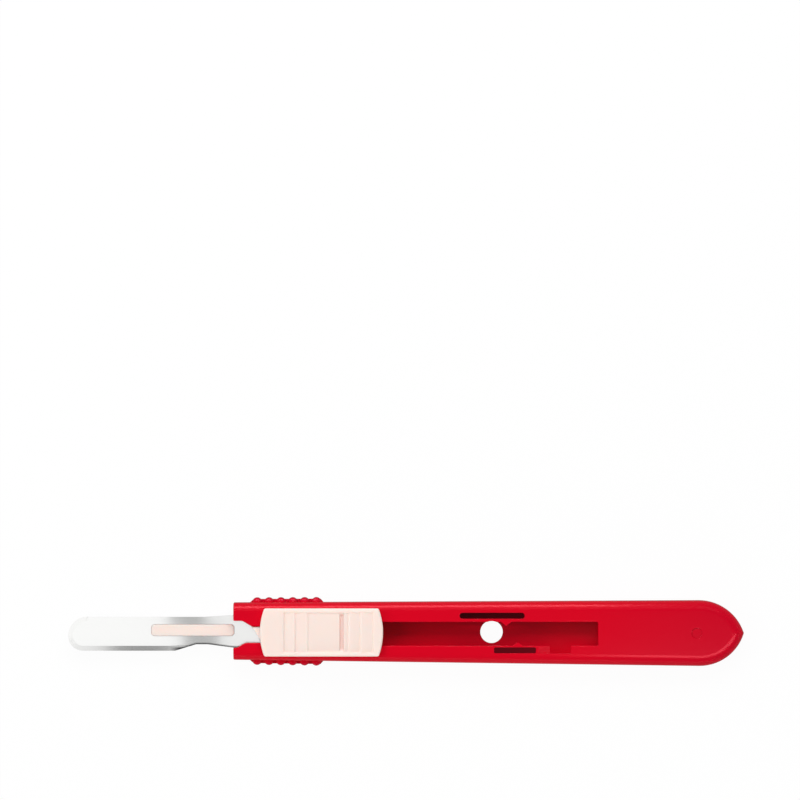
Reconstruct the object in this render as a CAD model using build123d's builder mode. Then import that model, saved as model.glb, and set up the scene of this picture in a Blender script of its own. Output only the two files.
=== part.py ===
import os
from math import cos, radians

from build123d import *

os.makedirs("parts", exist_ok=True)

# A retractable disposable scalpel in millimetres: a one-piece moulded handle, a blade carrier that
# slides in it under a stepped thumb pad, and a steel blade keyed to the carrier's tang.
# X runs from the blade tip to the tail, Y across the handle towards the blade's spine, and Z from
# the plain back to the thumb pad. The origin is where the axis of the cross hole meets the back.

# Outline of the handle
nose_reach = 54.96
tail_reach = 53.68
ogive_length = 9.53
spine_at_nose = 6.29
spine_at_shoulder = 6.75
belly_at_nose = 5.87
belly_at_shoulder = 7.2
tip_offset = -0.21
handle_depth = 7.0
top_round = 2.2
back_round = 0.8
nose_edge_round = 0.3
tip_round = 0.5

# Blade, a standard round-bellied form, measured from the spine corner of its slanted heel
heel_inset = 2.06
blade_reach = 37.25
blade_spine = 3.23
blade_edge = 3.98
blade_thickness = 0.4
blade_point_drop = 0.8
spine_corner = 10.0
edge_run = 14.5
waist_run = 10.0
waist_length = 2.5
waist_edge = 2.6
waist_curve = 1.5
heel_spine = 3.6
heel_spine_flat = 2.6
heel_spine_ramp = 5.5
heel_edge = 3.3
heel_edge_flat = 2.1
heel_slant = 5.04
grind_width = 1.05
grind_depth = 0.17
slot_margin = 1.85
slot_length = 17.72
slot_up = 1.69
slot_down = 0.86
slot_front_round = 0.8
slot_rear_chamfer = 0.5

# Chamber for the carrier and the drawn-in blade, open at the nose, its floor rising to the rear
lip_depth = 1.5
chamber_gap_up = 0.5
chamber_gap_down = 0.57
chamber_run_on = 0.9
floor_at_nose = 1.0
floor_at_end = 2.2

# Channel between the lips: flared mouth, narrow guide, wide run behind the pad
mouth_up = 2.43
mouth_up_length = 1.95
mouth_up_ramp = 2.05
mouth_down = 3.28
mouth_down_length = 0.8
mouth_down_ramp = 1.75
mouth_curve = 1.8
guide_up = 1.2
guide_down = 2.22
guide_length = 25.0
channel_up = 2.19
channel_down = 2.83
channel_run_on = 7.8
channel_corner = 0.3
lip_edge_round = 0.25

# Cross hole, and two beams that flex into relief slots and carry detent nubs
hole_diameter = 4.8
upper_beam = 0.68
upper_relief_x = 0.09
upper_relief_length = 13.83
upper_relief_width = 1.28
lower_beam = 0.38
lower_relief_x = 4.95
lower_relief_length = 8.9
lower_relief_width = 1.24
lower_relief_corner = 0.3
upper_nub_x = 3.06
upper_nub_rise = 0.85
upper_nub_base = 2.2
lower_nub_x = 5.55
lower_nub_rise = 0.73
lower_nub_base = 2.1
nub_round = 0.35
nub_root = 0.35

# Mark left by the ejector on the tail
ejector_mark_inset = 10.05
ejector_mark_radius = 1.1
ejector_mark_depth = 0.15

# Grip ribs on both sides of the nose
rib_count = 6
rib_pitch = 2.52
rib_setback = 5.05
rib_radius = 1.05
rib_foot = 0.9
rib_shoulder_gap = 0.1
band_rise = 0.7
band_root = 1.0
band_front = 1.55
band_front_slope = 0.8
band_rear = 1.52
band_rear_slope = 0.65

# Carrier: travel and running clearances
travel = 40.0
slide_gap = 0.2
side_gap = 0.25
guide_gap = 0.13
pad_gap = 0.1

# Carrier: tang, key, neck, body and sprung catch
tang_depth = 1.2
tang_front_margin = 2.0
tang_up = 2.7
tang_down = 2.1
tang_nose_round = 1.6
key_gap = 0.06
key_rise = 0.3
key_edge_round = 0.15
heel_gap = 0.05
neck_length = 2.5
body_inset = 0.7
body_corner = 0.4
stem_inset = 2.1
arm_length = 9.0
arm_width = 1.9
arm_depth = 1.4
arm_slit = 0.6
tooth_setback = 3.2
tooth_length = 2.6
tooth_width = 1.3
tooth_height = 1.1
tooth_lead = 0.35
notch_gap = 0.2
notch_width = 1.66
rear_notch_lead = 0.6
rear_notch_length = 4.45
ramp_length = 2.4
ramp_drop = 0.9

# Thumb pad, its hollow stepping down from both ends
pad_setback = 5.66
pad_length = 26.2
pad_half_width = 5.1
pad_depth = 2.1
pad_end_bulge = 0.95
pad_corner = 0.5
pad_edge_round = 0.45
pad_rim = 0.75
hollow_inset = 2.3
hollow_depth = 0.4
hollow_side_run = 0.8
front_steps = (4.9, 7.3, 10.0)
rear_steps = (7.5, 5.0, 2.3)
step_run = 0.35
lead_fall = 0.05
tread_rise = 0.26
groove_inset = 9.26
groove_width = 0.96
groove_depth = 0.5
groove_wall_run = 0.15
groove_rise = 0.25

# Levels worked out from the sizes above
ceiling = handle_depth - lip_depth
carrier_bottom = floor_at_end + slide_gap
blade_bottom = carrier_bottom + tang_depth
blade_top = blade_bottom + blade_thickness
body_top = ceiling - slide_gap
arm_top = body_top - tooth_height
pad_bottom = handle_depth + pad_gap
pad_top = pad_bottom + pad_depth
hollow_bottom = pad_top - hollow_depth - groove_depth
rib_top = handle_depth - top_round - rib_radius - rib_shoulder_gap

# Places along the handle
nose_x = -nose_reach
shoulder_x = tail_reach - ogive_length
guide_end = nose_x + guide_length
heel_x = nose_x + heel_inset
tip_x = heel_x - blade_reach
edge_end = heel_x - edge_run
slot_rear = heel_x - slot_margin
slot_front = slot_rear - slot_length
pad_front = nose_x + pad_setback
pad_rear = pad_front + pad_length
groove_front = pad_rear - groove_inset
stem_rear = pad_rear - stem_inset
body_rear = pad_rear - body_inset
tooth_front = body_rear - tooth_setback
arm_front = body_rear - arm_length
channel_end = stem_rear + travel + channel_run_on
chamber_end = channel_end + chamber_run_on
rear_notch_front = tooth_front + travel - rear_notch_lead
rib_xs = [nose_x + rib_setback + i * rib_pitch for i in range(rib_count)]

# Places across the handle
chamber_up = heel_spine + chamber_gap_up
chamber_down = blade_edge + chamber_gap_down
body_up = chamber_up - side_gap
body_down = chamber_down - side_gap
stem_up = min(guide_up, channel_up - upper_nub_rise) - guide_gap
stem_down = min(guide_down, channel_down - lower_nub_rise) - guide_gap
notch_side = -channel_down - notch_width
upper_relief_y = channel_up + upper_beam + upper_relief_width / 2
lower_relief_y = -channel_down - lower_beam - lower_relief_width / 2
hollow_side = pad_half_width - pad_rim

# How far a cut or the stock runs out past an open end
outside = 2.0


def spine_side(x):
    """Y of the handle's upper side at X."""
    return spine_at_nose + (spine_at_shoulder - spine_at_nose) * (x - nose_x) / (shoulder_x - nose_x)


def belly_side(x):
    """Y of the handle's lower side at X."""
    return -belly_at_nose - (belly_at_shoulder - belly_at_nose) * (x - nose_x) / (shoulder_x - nose_x)


def heel_line(y):
    """X of the blade's slanted heel at Y."""
    return heel_x + heel_slant * (heel_spine - y) / (heel_spine + heel_edge)


# One grip rib, an upright bar with a domed upper end
with BuildPart() as rib:
    with BuildSketch(Plane.XZ):
        with BuildLine():
            dome = CenterArc((0, rib_top), rib_radius, 0, 90)
            Polyline(dome @ 1, (0, rib_foot), (rib_radius, rib_foot), dome @ 0)
        make_face()
    revolve(axis=Axis.Z)

# Outline that the handle is raised from, straight sides closing in an ogive tail, with stock to
# cut away before the nose
with BuildSketch() as outline:
    with BuildLine():
        stock_x = nose_x - outside
        stock = Line((stock_x, belly_side(stock_x)), (stock_x, spine_side(stock_x)))
        spine = Line(stock @ 1, (shoulder_x, spine_at_shoulder))
        TangentArc(spine @ 1, (tail_reach, tip_offset), tangent=spine % 1)
        belly = Line(stock @ 0, (shoulder_x, -belly_at_shoulder))
        TangentArc(belly @ 1, (tail_reach, tip_offset), tangent=belly % 1)
    make_face()
    fillet(outline.vertices().sort_by(Axis.X)[-1], tip_round)

# Handle, one moulding
with BuildPart() as handle:
    add(outline)
    extrude(amount=handle_depth)
    fillet(handle.faces().sort_by(Axis.Z)[-1].edges().sort_by(Axis.X)[1:], top_round)
    fillet(handle.faces().sort_by(Axis.Z)[0].edges().sort_by(Axis.X)[1:], back_round)
    split(bisect_by=Plane.YZ.offset(nose_x), keep=Keep.TOP)
    fillet(handle.faces().sort_by(Axis.X)[0].edges(), nose_edge_round)

    # Chamber
    with BuildSketch(Plane.XZ.offset(-chamber_up)):
        with BuildLine():
            Polyline(
                (nose_x - outside, floor_at_nose),
                (nose_x, floor_at_nose),
                (chamber_end, floor_at_end),
                (chamber_end, ceiling),
                (nose_x - outside, ceiling),
                close=True,
            )
        make_face()
    extrude(amount=chamber_up + chamber_down, mode=Mode.SUBTRACT)

    # Channel through the lips
    with BuildSketch(Plane.XY.offset(ceiling)) as channel:
        with BuildLine():
            Polyline(
                (nose_x - outside, mouth_up),
                (nose_x + mouth_up_length, mouth_up),
                (nose_x + mouth_up_length + mouth_up_ramp, guide_up),
                (guide_end, guide_up),
                (guide_end + channel_up - guide_up, channel_up),
                (channel_end, channel_up),
                (channel_end, -channel_down),
                (guide_end + channel_down - guide_down, -channel_down),
                (guide_end, -guide_down),
                (nose_x + mouth_down_length + mouth_down_ramp, -guide_down),
                (nose_x + mouth_down_length, -mouth_down),
                (nose_x - outside, -mouth_down),
                close=True,
            )
        make_face()
        fillet(channel.vertices().filter_by(lambda v: nose_x < v.X < pad_front), mouth_curve)
        fillet(channel.vertices().group_by(Axis.X)[-1], channel_corner)
    extrude(amount=lip_depth, mode=Mode.SUBTRACT)
    lip_edges = handle.faces().sort_by(Axis.Z)[-1].edges().filter_by(
        lambda e: -mouth_down < e.center().Y < mouth_up and e.center().X > nose_x + nose_edge_round
    )
    fillet(lip_edges, lip_edge_round)

    # Detent nubs on the flexing beams
    with BuildSketch(Plane.XY.offset(ceiling)) as nubs:
        for x, side, rise, base in (
            (upper_nub_x, channel_up, -upper_nub_rise, upper_nub_base),
            (lower_nub_x, -channel_down, lower_nub_rise, lower_nub_base),
        ):
            root = side - nub_root if rise > 0 else side + nub_root
            with BuildLine():
                Polyline(
                    (x - base / 2, root),
                    (x - base / 2, side),
                    (x, side + rise),
                    (x + base / 2, side),
                    (x + base / 2, root),
                    close=True,
                )
            make_face()
        fillet(nubs.vertices().filter_by(lambda v: v.X in (upper_nub_x, lower_nub_x)), nub_round)
    extrude(amount=lip_depth)

    # Relief slots behind the beams
    with BuildSketch(Plane.XY.offset(ceiling)):
        with Locations((upper_relief_x, upper_relief_y)):
            SlotOverall(upper_relief_length, upper_relief_width)
        with Locations((lower_relief_x, lower_relief_y)):
            RectangleRounded(lower_relief_length, lower_relief_width, lower_relief_corner)
    extrude(amount=lip_depth, mode=Mode.SUBTRACT)

    # Catch notches, one under the pad at rest and one at the rear with a lead-in ramp
    with BuildSketch(Plane.XY.offset(ceiling)):
        with Locations((tooth_front - notch_gap, notch_side)):
            Rectangle(tooth_length + 2 * notch_gap, 2 * notch_width, align=Align.MIN)
        with Locations((rear_notch_front, notch_side)):
            Rectangle(rear_notch_length, 2 * notch_width, align=Align.MIN)
    extrude(amount=lip_depth, mode=Mode.SUBTRACT)
    with BuildSketch(Plane.XZ.offset(channel_down)):
        with BuildLine():
            Polyline(
                (rear_notch_front - ramp_length, handle_depth),
                (rear_notch_front, handle_depth - ramp_drop),
                (rear_notch_front, handle_depth),
                close=True,
            )
        make_face()
    extrude(amount=notch_width, mode=Mode.SUBTRACT)

    # Cross hole through floor and lips
    with BuildSketch():
        Circle(hole_diameter / 2)
    extrude(amount=handle_depth, mode=Mode.SUBTRACT)

    # Ejector mark on the tail
    with BuildSketch(Plane.XY.offset(handle_depth - ejector_mark_depth)):
        with Locations((tail_reach - ejector_mark_inset, tip_offset)):
            Circle(ejector_mark_radius)
    extrude(amount=ejector_mark_depth, mode=Mode.SUBTRACT)

    # Grip ribs on a low band, on both sides
    band_start = rib_xs[0] - band_front
    band_end = rib_xs[-1] + band_rear
    for side, out in ((spine_side, 1), (belly_side, -1)):
        with BuildSketch(Plane.XY.offset(rib_foot)):
            with BuildLine():
                Polyline(
                    (band_start, side(band_start) - out * band_root),
                    (band_start, side(band_start)),
                    (band_start + band_front_slope, side(band_start) + out * band_rise),
                    (band_end - band_rear_slope, side(band_end) + out * band_rise),
                    (band_end, side(band_end)),
                    (band_end, side(band_end) - out * band_root),
                    close=True,
                )
            make_face()
        extrude(amount=rib_top - rib_foot)
        with Locations([(x, side(x)) for x in rib_xs]):
            add(rib.part)

# Slot in the blade, which the carrier's key fills
with BuildSketch() as slot_outline:
    with BuildLine():
        front = FilletPolyline(
            (slot_rear - slot_rear_chamfer, slot_up),
            (slot_front, slot_up),
            (slot_front, -slot_down),
            (slot_rear - slot_rear_chamfer, -slot_down),
            radius=slot_front_round,
        )
        Polyline(
            front @ 1,
            (slot_rear, -slot_down + slot_rear_chamfer),
            (slot_rear, slot_up - slot_rear_chamfer),
            front @ 0,
        )
    make_face()

# Blade, stamped from strip, its edge ground from both faces
with BuildPart() as blade:
    with BuildSketch(Plane.XY.offset(blade_bottom)) as blank:
        with BuildLine():
            upper_round = (blade_spine + blade_point_drop) / cos(radians(spine_corner))
            lower_round = blade_edge - blade_point_drop
            upper_turn = 90 - spine_corner
            upper = CenterArc(
                (tip_x + upper_round, -blade_point_drop), upper_round, 90 + spine_corner, upper_turn
            )
            lower = CenterArc((tip_x + lower_round, -blade_point_drop), lower_round, 180, 90)
            Polyline(
                lower @ 1,
                (edge_end, -blade_edge),
                (heel_x - waist_run, -waist_edge),
                (heel_x - waist_run + waist_length, -waist_edge),
                (heel_x - heel_edge_flat, -heel_edge),
                (heel_x + heel_slant, -heel_edge),
                (heel_x, heel_spine),
                (heel_x - heel_spine_flat, heel_spine),
                (heel_x - heel_spine_flat - heel_spine_ramp, blade_spine),
                upper @ 0,
            )
        make_face()
        fillet(blank.vertices().filter_by(lambda v: edge_end < v.X < heel_x and v.Y < 0), waist_curve)
    extrude(amount=blade_thickness)
    for level in (-1, 0):
        face = blade.faces().filter_by(Axis.Z).sort_by(Axis.Z)[level]
        cutting = face.edges().filter_by(lambda e: e.center().X < edge_end).sort_by(Axis.Y)[:-1]
        chamfer(cutting, grind_width, length2=grind_depth, reference=face)
    with BuildSketch(Plane.XY.offset(blade_bottom)):
        add(slot_outline)
    extrude(amount=blade_thickness, mode=Mode.SUBTRACT)

# Hollow of the thumb pad, steps falling to its middle from both ends and a groove by the rear ones
with BuildPart() as hollow:
    front_fall = (hollow_depth - lead_fall + (len(front_steps) - 1) * tread_rise) / len(front_steps)
    rear_climb = (hollow_depth - groove_rise + len(rear_steps) * tread_rise) / len(rear_steps)
    profile = [(pad_front + hollow_inset, pad_top)]
    level = pad_top - lead_fall
    for step in front_steps:
        profile += [(pad_front + step, level), (pad_front + step + step_run, level - front_fall)]
        level += tread_rise - front_fall
    level = pad_top - hollow_depth
    profile += [
        (groove_front, level),
        (groove_front + groove_wall_run, level - groove_depth),
        (groove_front + groove_width - groove_wall_run, level - groove_depth),
        (groove_front + groove_width, level + groove_rise),
    ]
    level += groove_rise
    for step in rear_steps:
        level -= tread_rise
        profile += [(pad_rear - step, level), (pad_rear - step + step_run, level + rear_climb)]
        level += rear_climb
    with BuildSketch(Plane.XZ):
        with BuildLine():
            Polyline(*profile, close=True)
        make_face()
    extrude(amount=pad_half_width, both=True)
    with BuildSketch(Plane.YZ.offset(pad_front)):
        with BuildLine():
            Polyline(
                (-hollow_side, pad_top),
                (hollow_side, pad_top),
                (hollow_side - hollow_side_run, hollow_bottom),
                (hollow_side_run - hollow_side, hollow_bottom),
                close=True,
            )
        make_face()
    extrude(amount=pad_length, mode=Mode.INTERSECT)

# Blade carrier, one moulding
with BuildPart() as blade_carrier:
    # Tang that the blade lies on
    with BuildSketch(Plane.XY.offset(carrier_bottom)):
        with BuildLine():
            side = FilletPolyline(
                (body_rear, tang_up),
                (slot_front - tang_front_margin, tang_up),
                (slot_front - tang_front_margin, -tang_down),
                (body_rear, -tang_down),
                radius=tang_nose_round,
            )
            Line(side @ 1, side @ 0)
        make_face()
    extrude(amount=tang_depth)

    # Neck, its shoulder set against the slanted heel
    with BuildSketch(Plane.XY.offset(carrier_bottom)):
        with BuildLine():
            Polyline(
                (heel_line(heel_spine) + heel_gap, heel_spine),
                (heel_line(-heel_edge) + heel_gap, -heel_edge),
                (heel_line(-heel_edge) + neck_length, -heel_edge),
                (heel_line(heel_spine) + neck_length, heel_spine),
                close=True,
            )
        make_face()
    extrude(amount=blade_top - carrier_bottom)

    # Sliding body
    with BuildSketch(Plane.XY.offset(carrier_bottom)) as body:
        with BuildLine():
            Polyline(
                (heel_line(body_up) + neck_length, body_up),
                (heel_line(-body_down) + neck_length, -body_down),
                (body_rear, -body_down),
                (body_rear, body_up),
                close=True,
            )
        make_face()
        fillet(body.vertices(), body_corner)
    extrude(amount=body_top - carrier_bottom)

    # Sprung arm freed from the body's side, its tooth shown pressed clear of the lips
    with BuildSketch(Plane.XY.offset(carrier_bottom)):
        with Locations((arm_front, -body_down)):
            Rectangle(arm_length, arm_width + arm_slit, align=Align.MIN)
    extrude(amount=body_top - carrier_bottom, mode=Mode.SUBTRACT)
    with BuildSketch(Plane.XY.offset(arm_top - arm_depth)):
        with Locations((arm_front - arm_depth, -body_down)):
            Rectangle(tooth_front + tooth_length - arm_front + arm_depth, arm_width, align=Align.MIN)
    extrude(amount=arm_depth)
    with BuildSketch(Plane.XZ.offset(body_down - (arm_width - tooth_width) / 2)) as tooth:
        with Locations((tooth_front, arm_top)):
            Rectangle(tooth_length, tooth_height, align=Align.MIN)
        chamfer(tooth.vertices().group_by(Axis.Y)[-1], tooth_lead)
    extrude(amount=-tooth_width)

    # Stem through the channel, from the blade's heel to the back of the pad
    with BuildSketch(Plane.XY.offset(carrier_bottom)):
        with BuildLine():
            Polyline(
                (heel_line(-stem_down) + heel_gap, -stem_down),
                (stem_rear, -stem_down),
                (stem_rear, stem_up),
                (heel_line(stem_up) + heel_gap, stem_up),
                close=True,
            )
        make_face()
    extrude(amount=pad_bottom - carrier_bottom)

    # Thumb pad
    with BuildSketch(Plane.XY.offset(pad_bottom)) as pad:
        with BuildLine():
            front_end = ThreePointArc(
                (pad_front + pad_end_bulge, pad_half_width),
                (pad_front, 0),
                (pad_front + pad_end_bulge, -pad_half_width),
            )
            rear_end = ThreePointArc(
                (pad_rear - pad_end_bulge, -pad_half_width),
                (pad_rear, 0),
                (pad_rear - pad_end_bulge, pad_half_width),
            )
            Line(front_end @ 1, rear_end @ 0)
            Line(rear_end @ 1, front_end @ 0)
        make_face()
        fillet(pad.vertices(), pad_corner)
    extrude(amount=pad_depth)
    fillet(blade_carrier.faces().sort_by(Axis.Z)[-1].edges(), pad_edge_round)

    add(hollow.part, mode=Mode.SUBTRACT)

    # Key that fills the blade's slot and stands proud of it
    with BuildSketch(Plane.XY.offset(blade_bottom)):
        add(slot_outline)
        offset(amount=-key_gap)
    extrude(amount=blade_thickness + key_rise)
    key = blade_carrier.faces().filter_by(Axis.Z).filter_by_position(Axis.X, slot_front, slot_rear)
    fillet(key.sort_by(Axis.Z)[-1].edges(), key_edge_round)

for name, piece in (("handle", handle), ("blade_carrier", blade_carrier), ("blade", blade)):
    piece.part.label = name
    export_step(piece.part, f"parts/{name}.step")
    print(name, round(piece.part.volume, 1), "mm3")
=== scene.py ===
"""Finishes and lights a retractable disposable scalpel: a red glossy handle with a pale ivory carrier
and thumb pad, and a bright steel blade, lying on a white table and seen straight from above.

The file is laid out as an add-on. Each piece has its settings and its operator, and main() runs them all.
Lengths are in millimetres up to the calls that hand them to Blender, which takes metres.
"""

import math

import bpy
from bpy.props import FloatProperty, FloatVectorProperty, PointerProperty
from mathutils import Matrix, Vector


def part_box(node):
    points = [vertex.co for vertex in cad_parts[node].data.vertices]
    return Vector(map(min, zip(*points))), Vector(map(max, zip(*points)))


bl_info = {
    "name": "Retractable Scalpel",
    "version": (1, 0, 0),
    "blender": (4, 5, 0),
    "location": "3D View > Sidebar > Scalpel",
    "description": "Gives a retractable scalpel its plastics, its ground steel and its studio",
    "category": "Object",
}

MM = 0.001
OBJECT_MIDDLE = (-18.0, 0.0, 4.0)
ZONE_FADE = 0.05
EDGE_SAMPLES = 6
EDGE_GAIN = 120.0

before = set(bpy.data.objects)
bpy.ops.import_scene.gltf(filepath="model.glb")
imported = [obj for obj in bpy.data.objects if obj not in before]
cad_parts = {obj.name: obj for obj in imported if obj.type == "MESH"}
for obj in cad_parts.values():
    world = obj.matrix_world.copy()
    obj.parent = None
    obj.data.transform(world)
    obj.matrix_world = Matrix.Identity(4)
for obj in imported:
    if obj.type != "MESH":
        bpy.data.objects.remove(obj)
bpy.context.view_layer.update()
HANDLE_LOW, HANDLE_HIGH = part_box("handle")


# Shader nodes written as sums and calls

class Wire:
    """One output of a shader tree. Arithmetic on it adds Math nodes to the tree."""

    def __init__(self, finish, socket):
        self.finish = finish
        self.socket = socket

    def math(self, operation, *others):
        """The result of one Math node whose first input is this output."""
        inputs = dict(enumerate((self,) + others))
        return self.finish.node("ShaderNodeMath", {"operation": operation}, inputs)

    def __add__(self, other):
        return self.math("ADD", other)

    def __radd__(self, other):
        return self.math("ADD", other)

    def __mul__(self, other):
        return self.math("MULTIPLY", other)

    def __rmul__(self, other):
        return self.math("MULTIPLY", other)

    def __sub__(self, other):
        return self.math("SUBTRACT", other)

    def __rsub__(self, other):
        return (self * -1.0) + other

    def __truediv__(self, other):
        return self.math("DIVIDE", other)

    def __abs__(self):
        return self.math("ABSOLUTE")

    def clipped(self):
        """This value kept between 0 and 1."""
        return self.math("MAXIMUM", 0.0).math("MINIMUM", 1.0)


class Finish:
    """A material or world tree under construction."""

    def __init__(self, owner):
        owner.use_nodes = True
        self.owner = owner
        self.tree = owner.node_tree
        self.tree.nodes.clear()

    def node(self, kind, settings=None, inputs=None, output=0):
        """Adds a node: its settings first, then its sockets by name, identifier or place."""
        made = self.tree.nodes.new(kind)
        for name, value in (settings or {}).items():
            setattr(made, name, value)
        for key, value in (inputs or {}).items():
            socket = self.find(made.inputs, key)
            if isinstance(value, Wire):
                self.tree.links.new(value.socket, socket)
            else:
                socket.default_value = value
        if not made.outputs:
            return None
        return Wire(self, self.find(made.outputs, output))

    @staticmethod
    def find(sockets, key):
        """The socket with that place, identifier or name."""
        if isinstance(key, int):
            return sockets[key]
        for socket in sockets:
            if socket.identifier == key:
                return socket
        return sockets[key]

    def coordinates(self):
        """The piece's own coordinates, in metres."""
        return self.node("ShaderNodeTexCoord", output="Object")

    def axis(self, name):
        """One of the piece's own coordinates, in millimetres."""
        return self.node("ShaderNodeSeparateXYZ", None, {0: self.coordinates()}, name) / MM

    def noise(self, scale, detail=2.0, stretch=(1.0, 1.0, 1.0)):
        """Noise from 0 to 1 with `scale` grains to the millimetre, drawn out along an axis by stretch."""
        place = self.node("ShaderNodeMapping", None, {"Vector": self.coordinates(), "Scale": stretch})
        inputs = {"Vector": place, "Scale": scale / MM, "Detail": detail}
        return self.node("ShaderNodeTexNoise", {"noise_dimensions": "3D"}, inputs)

    def blend(self, factor, first, second):
        """A colour between two others."""
        inputs = {"Factor_Float": factor, "A_Color": first, "B_Color": second}
        return self.node("ShaderNodeMix", {"data_type": "RGBA"}, inputs, "Result_Color")

    def bump(self, height, depth, strength, normal=None):
        """A bumped normal, with its depth in millimetres."""
        inputs = {"Height": height, "Distance": depth * MM, "Strength": strength}
        if normal is not None:
            inputs["Normal"] = normal
        return self.node("ShaderNodeBump", None, inputs)

    def eased_edges(self, radius):
        """A normal that turns over each sharp edge within `radius` millimetres."""
        return self.node("ShaderNodeBevel", {"samples": EDGE_SAMPLES}, {"Radius": radius * MM})

    def edge(self, facing, radius):
        """1 along each sharp edge, within `radius` millimetres, and 0 elsewhere."""
        inputs = {0: facing, 1: self.eased_edges(radius)}
        same = self.node("ShaderNodeVectorMath", {"operation": "DOT_PRODUCT"}, inputs, "Value")
        return ((1.0 - same) * EDGE_GAIN).clipped()

    def ray(self, kind):
        """1 for rays of that kind, such as Is Camera Ray, and 0 for the others."""
        return self.node("ShaderNodeLightPath", output=kind)

    def surface(self, inputs):
        """Ends the material in one Principled shader."""
        shader = self.node("ShaderNodeBsdfPrincipled", None, inputs)
        self.node("ShaderNodeOutputMaterial", None, {"Surface": shader})


def within(value, low, high):
    """1 where the value lies between two limits, and 0 a little outside them."""
    middle = (low + high) / 2
    return (((high - low) / 2 - abs(value - middle)) / ZONE_FADE + 1.0).clipped()


def rising(value, start, run):
    """0 up to `start`, then rising to 1 over the length of `run`."""
    return ((value - start) / run).clipped()


def varied(level, *changes):
    """A level that noises move up and down, each given with the spread that it adds."""
    for noise, spread in changes:
        level = level + (noise - 0.5) * spread
    return level


def rgba(colour):
    """A colour setting as the four numbers that a socket takes."""
    return tuple(colour) + (1.0,)


def grey(level):
    """A grey of that level as the four numbers that a socket takes."""
    return rgba((level, level, level))


def colour_setting(name, default, description):
    """A colour, as the add-on's panel shows it."""
    return FloatVectorProperty(
        name=name, description=description, default=default, subtype="COLOR", min=0.0, max=1.0
    )


def length_setting(name, default, description):
    """A length in millimetres."""
    return FloatProperty(name=name, description=description, default=default, min=0.0)


def share_setting(name, default, description):
    """A share from 0 to 1."""
    return FloatProperty(
        name=name, description=description, default=default, min=0.0, max=1.0, subtype="FACTOR"
    )


# Settings

class ScalpelHandleSettings(bpy.types.PropertyGroup):
    """The red moulded handle."""

    colour: colour_setting("Colour", (0.675, 0.0003, 0.0125), "Red of the moulded plastic")
    # Painted shade: a deeper red laid on in random cloudy patches and, as painted shade, towards the tail
    cloud_and_tail_shade_colour: colour_setting("Deep colour", (0.525, 0.0005, 0.0155), "Red where the wall is thickest")
    # Painted shade: the grip ribs are painted a darker red for the shade on their tilted faces
    rib_shade_colour: colour_setting("Rib colour", (0.58, 0.001, 0.021), "Darker red of the grip ribs")
    # Painted shade: the near-black red painted down in the relief slots
    recess_shade_colour: colour_setting("Recess colour", (0.16, 0.004, 0.010), "Red down in the relief slots")
    gleam: colour_setting("Gleam", (1.0, 0.25, 0.32), "Colour of the highlights on the translucent red")
    gloss: share_setting("Roughness", 0.22, "Roughness of the polished mould face")
    grain_depth: length_setting("Grain depth", 0.003, "Depth of the fine mould grain, in mm")
    edge_round: length_setting("Edge round", 0.18, "Round that the mould leaves on sharp edges, in mm")


class ScalpelCarrierSettings(bpy.types.PropertyGroup):
    """The ivory carrier with its thumb pad and key."""

    colour: colour_setting("Colour", (1.0, 0.803, 0.738), "Ivory of the moulded plastic")
    shade_colour: colour_setting("Shade colour", (0.97, 0.742, 0.672), "Ivory in its cloudy patches")
    # Painted shade: the pinker, darker ivory painted in the thumb pad's deep groove
    groove_shade_colour: colour_setting("Groove colour", (0.95, 0.71, 0.655), "Pinker ivory of the deep groove")
    gloss: share_setting("Roughness", 0.42, "Roughness of the satin mould face")
    grain_depth: length_setting("Grain depth", 0.006, "Depth of the satin mould grain, in mm")
    edge_round: length_setting("Edge round", 0.18, "Round that the mould leaves on sharp edges, in mm")


class ScalpelBladeSettings(bpy.types.PropertyGroup):
    """The stamped and ground steel blade."""

    colour: colour_setting("Colour", (0.87, 0.872, 0.862), "Colour of the bright rolled steel")
    ground_colour: colour_setting("Ground colour", (0.85, 0.85, 0.84), "Colour of the ground bevel")
    gloss: share_setting("Roughness", 0.19, "Roughness of the rolled faces")
    line_depth: length_setting("Line depth", 0.0004, "Depth of the rolling and grinding lines, in mm")
    # Painted reflection: a black line standing in for the dark that the blade's edge mirrors
    dark_edge_reflection_colour: colour_setting("Edge colour", (0.03, 0.03, 0.03), "Colour of the dull stamped edge")
    edge_width: length_setting("Edge width", 0.62, "Width of the dull line along the stamped edge, in mm")


class ScalpelStudioSettings(bpy.types.PropertyGroup):
    """The table, the lamps and the camera."""

    view_width: length_setting("View width", 170.2, "Width of the table that the picture shows, in mm")
    view_height: length_setting("Camera height", 2500.0, "Height of the camera over the object, in mm")
    floor_share: share_setting("Floor shadow", 0.04, "Share of the floor's light that a shadow can take")
    floor_gloss: share_setting("Floor in gloss", 0.25, "Level at which glossy faces mirror the floor")
    world_level: share_setting("World level", 0.29, "Level of the soft light from all round")
    world_gloss: share_setting("World in gloss", 0.31, "Level at which glossy faces mirror the world")


# Pieces

def dress(node, material):
    """Gives a carried-over node its finish."""
    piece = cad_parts[node]
    piece.data.materials.clear()
    piece.data.materials.append(material)


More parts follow.
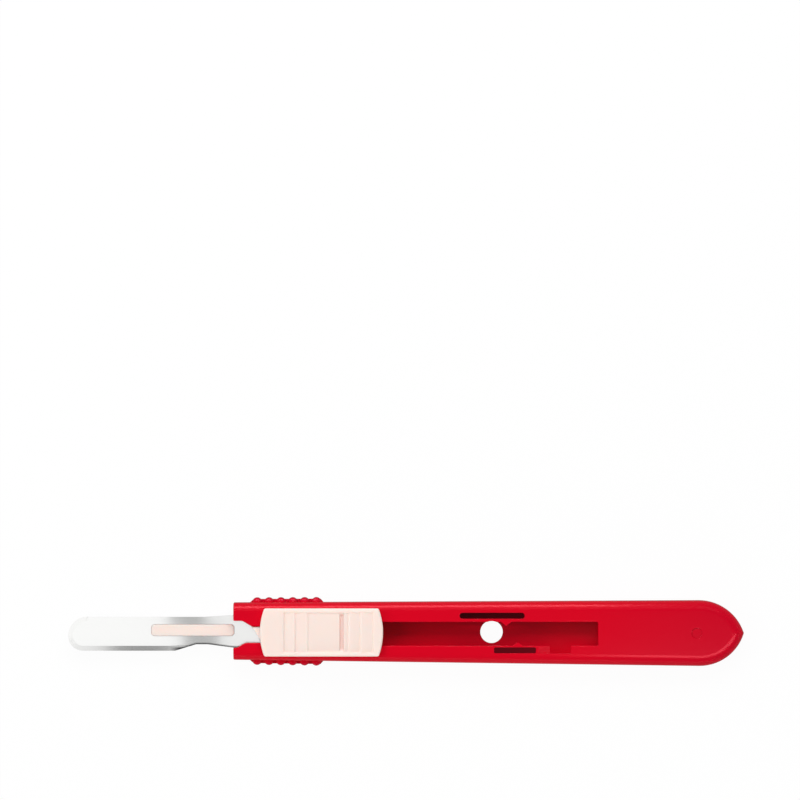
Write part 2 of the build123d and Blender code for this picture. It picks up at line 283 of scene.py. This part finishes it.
class SCALPEL_OT_handle(bpy.types.Operator):
    """Give the handle its glossy red plastic"""

    bl_idname = "scalpel.handle"
    bl_label = "Finish Handle"

    # Where the red changes, with its painted shade towards the tail, on the ribs and in the slots, in
    # millimetres of the handle's own coordinates, and by how much
    cloud_share = 0.35
    tail_shade_share = 0.5
    tail_shade_from_x = 18.0
    tail_shade_run = 30.0
    rib_zone_x = (-51.6, -36.0)
    rib_zone_y = 6.45
    rib_fade = 0.2
    slot_zone_x = (-8.0, 10.5)
    slot_zone_y = (2.9, 4.8)
    slot_shade_start = 0.15
    slot_shade_run = 0.4
    flow_depth = 0.05

    def execute(self, context):
        settings = context.scene.scalpel_handle
        finish = Finish(bpy.data.materials.new("red_gloss_plastic"))
        cloud = finish.noise(scale=0.035, stretch=(0.5, 1.0, 1.0))
        grain = finish.noise(scale=6.0, detail=3.0)
        flow = finish.noise(scale=0.16, stretch=(0.35, 1.0, 1.0))
        along = finish.axis("X")
        off_centre = abs(finish.axis("Y"))
        # Painted shade: the red darkens towards the tail, blended with the random cloudy tone
        tail_shade = rising(along, self.tail_shade_from_x, self.tail_shade_run)
        deep = (self.cloud_share * cloud + self.tail_shade_share * tail_shade).clipped()
        colour = finish.blend(deep, rgba(settings.colour), rgba(settings.cloud_and_tail_shade_colour))
        # Painted shade on the grip ribs
        ribs = within(along, *self.rib_zone_x) * rising(off_centre, self.rib_zone_y, self.rib_fade)
        colour = finish.blend(ribs, colour, rgba(settings.rib_shade_colour))
        # Painted shade deep in the relief slots
        slots = self.slot_shade_mask(finish, along, off_centre)
        colour = finish.blend(slots, colour, rgba(settings.recess_shade_colour))
        normal = finish.eased_edges(settings.edge_round)
        normal = finish.bump(flow, self.flow_depth, strength=0.25, normal=normal)
        normal = finish.bump(grain, settings.grain_depth, strength=0.6, normal=normal)
        finish.surface({
            "Base Color": colour, "Roughness": varied(settings.gloss, (grain, 0.06), (flow, 0.05)),
            "Normal": normal, "IOR": 1.5,
            "Specular IOR Level": 0.35, "Specular Tint": rgba(settings.gleam),
        })
        dress("handle", finish.owner)
        return {"FINISHED"}

    def slot_shade_mask(self, finish, along, off_centre):
        """1 on the walls and floors of the narrow relief slots, where hardly any light gets: where the
        painted shade goes.
        """
        depth = HANDLE_HIGH.z / MM - finish.axis("Z")
        below_top = rising(depth, self.slot_shade_start, self.slot_shade_run)
        across = within(off_centre, *self.slot_zone_y)
        return below_top * across * within(along, *self.slot_zone_x)


class SCALPEL_OT_carrier(bpy.types.Operator):
    """Give the carrier and its thumb pad their satin ivory plastic"""

    bl_idname = "scalpel.carrier"
    bl_label = "Finish Carrier"

    cloud_share = 0.3
    groove_zone_z = (8.2, 8.6)
    glow_depth = 1.4

    def execute(self, context):
        settings = context.scene.scalpel_carrier
        finish = Finish(bpy.data.materials.new("ivory_satin_plastic"))
        cloud = finish.noise(scale=0.09, stretch=(0.6, 1.0, 1.0))
        grain = finish.noise(scale=5.0, detail=3.0)
        patches = self.cloud_share * cloud
        colour = finish.blend(patches, rgba(settings.colour), rgba(settings.shade_colour))
        # Painted shade in the deep groove of the thumb pad
        groove = within(finish.axis("Z"), *self.groove_zone_z)
        colour = finish.blend(groove, colour, rgba(settings.groove_shade_colour))
        normal = finish.eased_edges(settings.edge_round)
        normal = finish.bump(grain, settings.grain_depth, strength=0.7, normal=normal)
        finish.surface({
            "Base Color": colour, "Roughness": varied(settings.gloss, (grain, 0.1)),
            "Normal": normal, "IOR": 1.48,
            "Subsurface Weight": 0.65, "Subsurface Radius": (1.0, 0.7, 0.6),
            "Subsurface Scale": self.glow_depth * MM,
        })
        dress("blade_carrier", finish.owner)
        return {"FINISHED"}


class SCALPEL_OT_blade(bpy.types.Operator):
    """Give the blade its rolled faces and its ground edge"""

    bl_idname = "scalpel.blade"
    bl_label = "Finish Blade"

    # How far a face points up where it counts as flat and not as the ground bevel
    flat_from = 0.990
    flat_run = 0.008
    # The painted dark reflection along the stamped edge: along the blade from behind the bevel, and out
    # from the middle to the belly
    stamped_from_x = -68.5
    stamped_run = 2.0
    belly_from = 1.2
    belly_run = 1.0

    def execute(self, context):
        settings = context.scene.scalpel_blade
        finish = Finish(bpy.data.materials.new("ground_blade_steel"))
        facing = finish.node("ShaderNodeNewGeometry", output="Normal")
        upward = abs(finish.node("ShaderNodeSeparateXYZ", None, {0: facing}, "Z"))
        flat = rising(upward, self.flat_from, self.flat_run)
        rolling = finish.noise(scale=2.2, detail=4.0, stretch=(0.04, 2.4, 1.0))
        grinding = finish.noise(scale=3.0, detail=4.0, stretch=(2.6, 0.08, 1.0))
        cloud = finish.noise(scale=0.12)
        colour = finish.blend(flat, rgba(settings.ground_colour), rgba(settings.colour))
        lines = rolling * flat + grinding * (1.0 - flat)
        stamped = rising(finish.axis("X"), self.stamped_from_x, self.stamped_run)
        stamped = stamped * rising(-1.0 * finish.axis("Y"), self.belly_from, self.belly_run)
        # Painted dark reflection along the stamped edge at the belly
        edge = finish.edge(facing, settings.edge_width) * stamped
        colour = finish.blend(edge, colour, rgba(settings.dark_edge_reflection_colour))
        finish.surface({
            "Base Color": colour, "Roughness": varied(settings.gloss, (lines, 0.05), (cloud, 0.04)),
            "Metallic": 1.0, "Normal": finish.bump(lines, settings.line_depth, strength=0.8),
        })
        dress("blade", finish.owner)
        return {"FINISHED"}


# Studio

def aim(thing, place, target):
    """Puts a lamp at a place and turns it to a target, both in millimetres."""
    thing.location = Vector(place) * MM
    direction = Vector(target) - Vector(place)
    thing.rotation_euler = direction.to_track_quat("-Z", "Y").to_euler()


def softbox(name, place, target, size, radiance, node=None, in_gloss=True, in_matt=True):
    """A flat lamp of one brightness all over, on one node alone where it is named."""
    width, depth = size
    data = bpy.data.lights.new(name, "AREA")
    data.shape = "RECTANGLE"
    data.size = width * MM
    data.size_y = depth * MM
    data.energy = radiance * math.pi * width * depth * MM * MM
    lamp = bpy.data.objects.new(name, data)
    bpy.context.scene.collection.objects.link(lamp)
    aim(lamp, place, target)
    lamp.visible_camera = False
    lamp.visible_glossy = in_gloss
    lamp.visible_diffuse = in_matt
    if node:
        lit = bpy.data.collections.new(name + "_lights")
        lit.objects.link(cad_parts[node])
        lamp.light_linking.receiver_collection = lit


def fill(name, place, size, radiance):
    """A wide lamp on the middle of the object that no gloss mirrors."""
    softbox(name, place, OBJECT_MIDDLE, size, radiance, in_gloss=False)


def card_above(name, node, x_range, y_range, level, radiance):
    """A card that only one node's gloss mirrors from above, with its ranges and level in mm."""
    x = sum(x_range) / 2
    y = sum(y_range) / 2
    size = (x_range[1] - x_range[0], y_range[1] - y_range[0])
    softbox(name, (x, y, level), (x, y, 0.0), size, radiance, node, in_matt=False)


class SCALPEL_OT_studio(bpy.types.Operator):
    """Lay the white floor and set the lamps, the soft world and the camera"""

    bl_idname = "scalpel.studio"
    bl_label = "Set Up Studio"

    floor_drop = 0.05
    floor_half = 4000.0
    floor_grey = 0.7
    floor_grey_seen = 0.9
    sensor = 36.0
    picture_centre = (-19.5, 49.4)
    picture_level = 5.5

    def execute(self, context):
        settings = context.scene.scalpel_studio
        self.lay_floor(context.scene, settings)
        self.light_world(context.scene, settings)
        self.place_fills()
        self.place_cards()
        self.place_camera(context.scene, settings)
        context.scene.view_settings.view_transform = "Standard"
        return {"FINISHED"}

    def lay_floor(self, scene, settings):
        """A wide flat floor just under the handle's back, near white to the camera."""
        half = self.floor_half * MM
        level = HANDLE_LOW.z - self.floor_drop * MM
        corners = [(-half, -half, level), (half, -half, level), (half, half, level), (-half, half, level)]
        mesh = bpy.data.meshes.new("floor")
        mesh.from_pydata(corners, [], [(0, 1, 2, 3)])
        floor = bpy.data.objects.new("floor", mesh)
        scene.collection.objects.link(floor)
        finish = Finish(bpy.data.materials.new("white_table"))
        seen = finish.ray("Is Camera Ray")
        glossy = finish.ray("Is Glossy Ray")
        matt_colour = finish.blend(seen, grey(self.floor_grey), grey(self.floor_grey_seen))
        matt = finish.node("ShaderNodeBsdfDiffuse", None, {"Color": matt_colour})
        glow_colour = finish.blend(glossy, grey(1.0), grey(settings.floor_gloss))
        glow = finish.node("ShaderNodeEmission", None, {"Color": glow_colour, "Strength": 1.0})
        share = seen * (1.0 - settings.floor_share) + glossy
        mixed = finish.node("ShaderNodeMixShader", None, {0: share, 1: matt, 2: glow})
        finish.node("ShaderNodeOutputMaterial", None, {"Surface": mixed})
        mesh.materials.append(finish.owner)

    def light_world(self, scene, settings):
        """A soft world that shows white behind the floor's far edge."""
        scene.world = bpy.data.worlds.new("soft_world")
        finish = Finish(scene.world)
        seen = finish.ray("Is Camera Ray")
        glossy = finish.ray("Is Glossy Ray")
        level = settings.world_level + seen * (1.0 - settings.world_level)
        level = level + glossy * (settings.world_gloss - settings.world_level)
        shader = finish.node("ShaderNodeBackground", None, {"Color": grey(1.0), "Strength": level})
        finish.node("ShaderNodeOutputWorld", None, {"Surface": shader})

    def place_fills(self):
        """Fills from the four sides. The low ones light the rims and leave the channel dark."""
        fill("fill_tip", (-500.0, 0.0, 500.0), (400.0, 500.0), radiance=2.15)
        fill("fill_belly", (-18.0, -600.0, 130.0), (700.0, 200.0), radiance=4.2)
        fill("fill_spine", (-18.0, 450.0, 540.0), (700.0, 350.0), radiance=4.75)
        fill("fill_tail", (560.0, 0.0, 50.0), (500.0, 60.0), radiance=6.0)

    def place_cards(self):
        """Cards for the gloss alone: the handle's bright strips, and the blade's light and dark bands.

        The blade's faces mirror each gap between two cards as a dark dip. Each card over the blade has
        its own height, because two in one plane don't add up.
        """
        key_place = (-46.0, 92.5, 42.5)
        softbox("key_spine", key_place, (-46.0, 0.0, 5.0), (152.0, 35.0), 7.4, "handle", in_matt=False)
        past_tip, past_heel, behind_bevel = -150.0, -21.0, -30.0
        spine_side, belly_side, bevel_side = (0.5, 35.0), (-8.0, 0.5), (-45.0, -11.0)
        spine_dip, belly_dip, bevel_dip = (-69.0, -61.4), (-65.9, -58.5), (-82.5, -68.4)
        card_above("blade_card", "blade", (past_tip, behind_bevel), (-12.0, 60.0), 90.0, 0.185)
        card_above("tip_card_spine", "blade", (past_tip, spine_dip[0]), spine_side, 30.0, 0.61)
        card_above("tip_card_belly", "blade", (past_tip, belly_dip[0]), belly_side, 29.0, 0.61)
        card_above("heel_card_spine", "blade", (spine_dip[1], past_heel), spine_side, 28.0, 0.49)
        card_above("heel_card_belly", "blade", (belly_dip[1], past_heel), belly_side, 27.0, 0.49)
        card_above("bevel_tip_card", "blade", (past_tip, bevel_dip[0]), bevel_side, 46.0, 0.65)
        card_above("bevel_heel_card", "blade", (bevel_dip[1], behind_bevel), bevel_side, 45.0, 0.56)
        card_above("tail_card", "handle", (24.0, 110.0), (-42.0, -14.0), 90.0, 7.0)

    def place_camera(self, scene, settings):
        """A long lens straight above, so that the picture has nearly no perspective."""
        data = bpy.data.cameras.new("camera")
        data.sensor_width = self.sensor
        data.lens = self.sensor * settings.view_height / settings.view_width
        camera = bpy.data.objects.new("camera", data)
        scene.collection.objects.link(camera)
        across, up = self.picture_centre
        camera.location = Vector((across, up, self.picture_level + settings.view_height)) * MM
        scene.camera = camera


# Add-on

class SCALPEL_PT_sidebar(bpy.types.Panel):
    """The scalpel's pieces and their settings"""

    bl_idname = "SCALPEL_PT_sidebar"
    bl_label = "Retractable Scalpel"
    bl_space_type = "VIEW_3D"
    bl_region_type = "UI"
    bl_category = "Scalpel"

    def draw(self, context):
        for operator, group, names in PANEL_ROWS:
            column = self.layout.column(align=True)
            column.operator(operator)
            for name in names:
                column.prop(getattr(context.scene, group), name)


GROUPS = {
    "scalpel_handle": ScalpelHandleSettings,
    "scalpel_carrier": ScalpelCarrierSettings,
    "scalpel_blade": ScalpelBladeSettings,
    "scalpel_studio": ScalpelStudioSettings,
}
OPERATORS = (SCALPEL_OT_handle, SCALPEL_OT_carrier, SCALPEL_OT_blade, SCALPEL_OT_studio)
PANEL_ROWS = tuple(
    (operator.bl_idname, group, tuple(settings.__annotations__))
    for operator, (group, settings) in zip(OPERATORS, GROUPS.items())
)
CLASSES = tuple(GROUPS.values()) + OPERATORS + (SCALPEL_PT_sidebar,)


def register():
    for cls in CLASSES:
        bpy.utils.register_class(cls)
    for name, cls in GROUPS.items():
        setattr(bpy.types.Scene, name, PointerProperty(type=cls))


def unregister():
    for name in GROUPS:
        delattr(bpy.types.Scene, name)
    for cls in reversed(CLASSES):
        bpy.utils.unregister_class(cls)


def main():
    register()
    bpy.ops.scalpel.handle()
    bpy.ops.scalpel.carrier()
    bpy.ops.scalpel.blade()
    bpy.ops.scalpel.studio()


if __name__ == "__main__":
    main()
